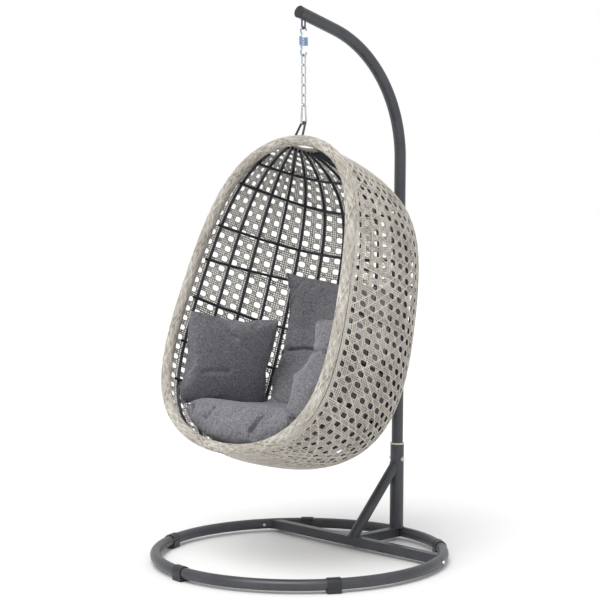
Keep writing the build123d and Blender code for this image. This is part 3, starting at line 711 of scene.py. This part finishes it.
def press(piece, lines):
    """Draws the surface in along lines, each a list of points near it with a depth and a width."""
    co, normals = coordinates(piece.data), normals_of(piece.data)
    for line, depth, width in lines:
        line = np.array(line, float)
        nearest = np.full(len(co), 1e9)
        for a, b in zip(line, line[1:]):
            run = b - a
            share = np.clip((co - a) @ run / run.dot(run), 0, 1)
            gap = co - a - share[:, None] * run
            rise = (gap * normals).sum(1)
            aside = np.linalg.norm(gap - rise[:, None] * normals, axis=1)
            nearest = np.minimum(nearest, np.where(np.abs(rise) < CREASE_REACH, aside, 1e9))
        co = co - normals * (depth * np.exp(-((nearest / width) ** 2)))[:, None]
    move_to(piece, co)


def raise_front(piece, height):
    """Puffs up the top of the seat where it meets the rim in front."""
    co = coordinates(piece.data)
    back = np.maximum(to_basket(co)[:, 1], 0)
    share = np.exp(-((back / 0.12) ** 2)) * np.clip((co[:, 2] - 0.47) / 0.07, 0, 1)
    co[:, 2] += height * share
    co[:, 0] *= 1 + 0.08 * share
    move_to(piece, co)


def cushion(name, node, creases, voxel, shrink, pressure, slack, cap, lobe=0):
    """One pad of the cushion set: the CAD solid drawn in, blown up by at most cap, then creased."""
    piece = remeshed(name, node, voxel, shrink, 8)
    swell(piece, pressure, slack, cap)
    subdivide(piece)
    if lobe:
        raise_front(piece, lobe)
    press(piece, creases)
    co = keep_in_basket(coordinates(piece.data), CUSHION_INSET)
    move_to(piece, co)
    finish_cushion(piece, "grey_fabric", node)


def pillow():
    """Two square sheets sewn at their edges and blown up, so that the edges stay sharp and the
    corners pucker."""
    half, cells = 0.181, 54
    ticks = np.linspace(-1, 1, cells + 1)
    u, v = np.meshgrid(ticks, ticks, indexing="ij")
    dome = (1 - u ** 2) * (1 - v ** 2)
    count = (cells + 1) ** 2
    index = np.arange(count).reshape(cells + 1, cells + 1)
    border = (np.abs(u) == 1) | (np.abs(v) == 1)
    back_index = np.full((cells + 1, cells + 1), -1)
    back_index[~border] = count + np.arange((~border).sum())
    back_index[border] = index[border]
    front = np.stack((u * half, -0.018 * dome ** 0.5, v * half), -1).reshape(-1, 3)
    back = np.stack((u * half, 0.018 * dome ** 0.5, v * half), -1)[~border]
    faces = []
    for grid, flip in ((index, False), (back_index, True)):
        quads = np.stack((grid[:-1, :-1], grid[1:, :-1], grid[1:, 1:], grid[:-1, 1:]), -1).reshape(-1, 4)
        faces += (quads[:, ::-1] if flip else quads).tolist()
    piece = piece_from("throw_pillow_cover", np.concatenate((front, back)), faces, "pillow_fabric")
    swell(piece, 3.0, 0.02, 0.06, frames=24, bending=1.2)
    subdivide(piece)
    co = coordinates(piece.data)
    co[:, 1] *= 0.104 / np.ptp(co[:, 1])
    co[:, [0, 2]] *= 2 * PILLOW_HALF / np.ptp(co[:, [0, 2]], axis=0)
    u, v = co[:, 0] / PILLOW_HALF, co[:, 2] / PILLOW_HALF
    trimmed = 1 - 0.05 * (u * v) ** 2
    co[:, 0] *= trimmed * (1 + 0.06 * (1 - v * v) * np.abs(u))
    co[:, 2] *= trimmed * (1 + 0.06 * (1 - u * u) * np.abs(v))
    place = (Matrix.Translation((-0.292, -0.079, 0.686)) @ Matrix.Rotation(math.radians(68), 4, "Z")
             @ Matrix.Rotation(math.radians(7.5), 4, "X") @ Matrix.Rotation(math.radians(7.5), 4, "Y"))
    co = co @ np.array(place.to_3x3()).T + np.array(place.translation)
    move_to(piece, co)
    press(piece, PILLOW_CREASES)
    co = keep_in_basket(coordinates(piece.data), PILLOW_INSET)
    move_to(piece, co)
    finish_cushion(piece, "pillow_fabric", "throw_pillow")


# --- Putting it together -----------------------------------------------------------------------
weave_shell()
weave_border()
braid_rim()
coil_spring()
weld_beads()
cushion(
    "seat_pad", "seat_cushion", SEAT_CREASES,
    voxel=0.006, shrink=0.005, pressure=5, slack=0.05, cap=0.030, lobe=0.030,
)
cushion(
    "back_pad", "back_cushion", BACK_CREASES,
    voxel=0.006, shrink=0.006, pressure=4, slack=0.03, cap=0.020,
)
cushion(
    "wing_right_pad", "seat_wing_right", WING_CREASES,
    voxel=0.006, shrink=0.006, pressure=4, slack=0.03, cap=0.022,
)
cushion(
    "wing_left_pad", "seat_wing_left", (),
    voxel=0.007, shrink=0.004, pressure=3, slack=0.01, cap=0.010,
)
pillow()


# --- Stage, light and camera -------------------------------------------------------------------
def stage_floor():
    shader = Shader("pale_floor", Roughness=0.9, Specular_IOR_Level=0.1)
    shader.principled.inputs["Base Color"].default_value = (0.86, 0.86, 0.86, 1)
    mesh = bpy.data.meshes.new("floor")
    size = 60
    corners = [(-size, -size, 0), (size, -size, 0), (size, size, 0), (-size, size, 0)]
    mesh.from_pydata(corners, [], [(0, 1, 2, 3)])
    mesh.materials.append(shader.material)
    floor = bpy.data.objects.new("floor", mesh)
    floor.location.z = -0.0005
    scene.collection.objects.link(floor)


def stage_light():
    world = bpy.data.worlds.new("studio")
    scene.world = world
    world.use_nodes = True
    tree = world.node_tree
    soft = tree.nodes["Background"]
    soft.inputs["Color"].default_value = (1, 1, 1, 1)
    soft.inputs["Strength"].default_value = 0.8
    bright = tree.nodes.new("ShaderNodeBackground")
    bright.inputs["Color"].default_value = (1, 1, 1, 1)
    bright.inputs["Strength"].default_value = 1.0
    seen = tree.nodes.new("ShaderNodeLightPath")
    mix = tree.nodes.new("ShaderNodeMixShader")
    tree.links.new(seen.outputs["Is Camera Ray"], mix.inputs["Fac"])
    tree.links.new(soft.outputs[0], mix.inputs[1])
    tree.links.new(bright.outputs[0], mix.inputs[2])
    tree.links.new(mix.outputs[0], tree.nodes["World Output"].inputs["Surface"])
    sun = bpy.data.lights.new("key", "SUN")
    sun.energy = 1.9
    sun.angle = math.radians(40)
    lamp = bpy.data.objects.new("key", sun)
    lamp.rotation_euler = Vector((0.35, -0.75, 1.3)).to_track_quat("Z", "Y").to_euler()
    scene.collection.objects.link(lamp)


def make_camera():
    azimuth, distance, height = math.radians(47.475), 5.73277, 1.28588
    yaw, pitch, roll = azimuth - math.radians(0.04871), math.radians(3.68868), math.radians(-0.17609)
    forward = Vector((-math.sin(yaw) * math.cos(pitch), math.cos(yaw) * math.cos(pitch), -math.sin(pitch)))
    right = forward.cross(Vector((0, 0, 1))).normalized()
    up = right.cross(forward)
    rolled_right = right * math.cos(roll) + up * math.sin(roll)
    rolled_up = up * math.cos(roll) - right * math.sin(roll)
    data = bpy.data.cameras.new("camera")
    data.sensor_width = 36
    data.lens = 98.634
    camera = bpy.data.objects.new("camera", data)
    place = Matrix((rolled_right, rolled_up, -forward)).transposed().to_4x4()
    place.translation = (distance * math.sin(azimuth), -distance * math.cos(azimuth), height)
    camera.matrix_world = place
    scene.collection.objects.link(camera)
    scene.camera = camera


stage_floor()
stage_light()
make_camera()
scene.view_settings.view_transform = "Standard"
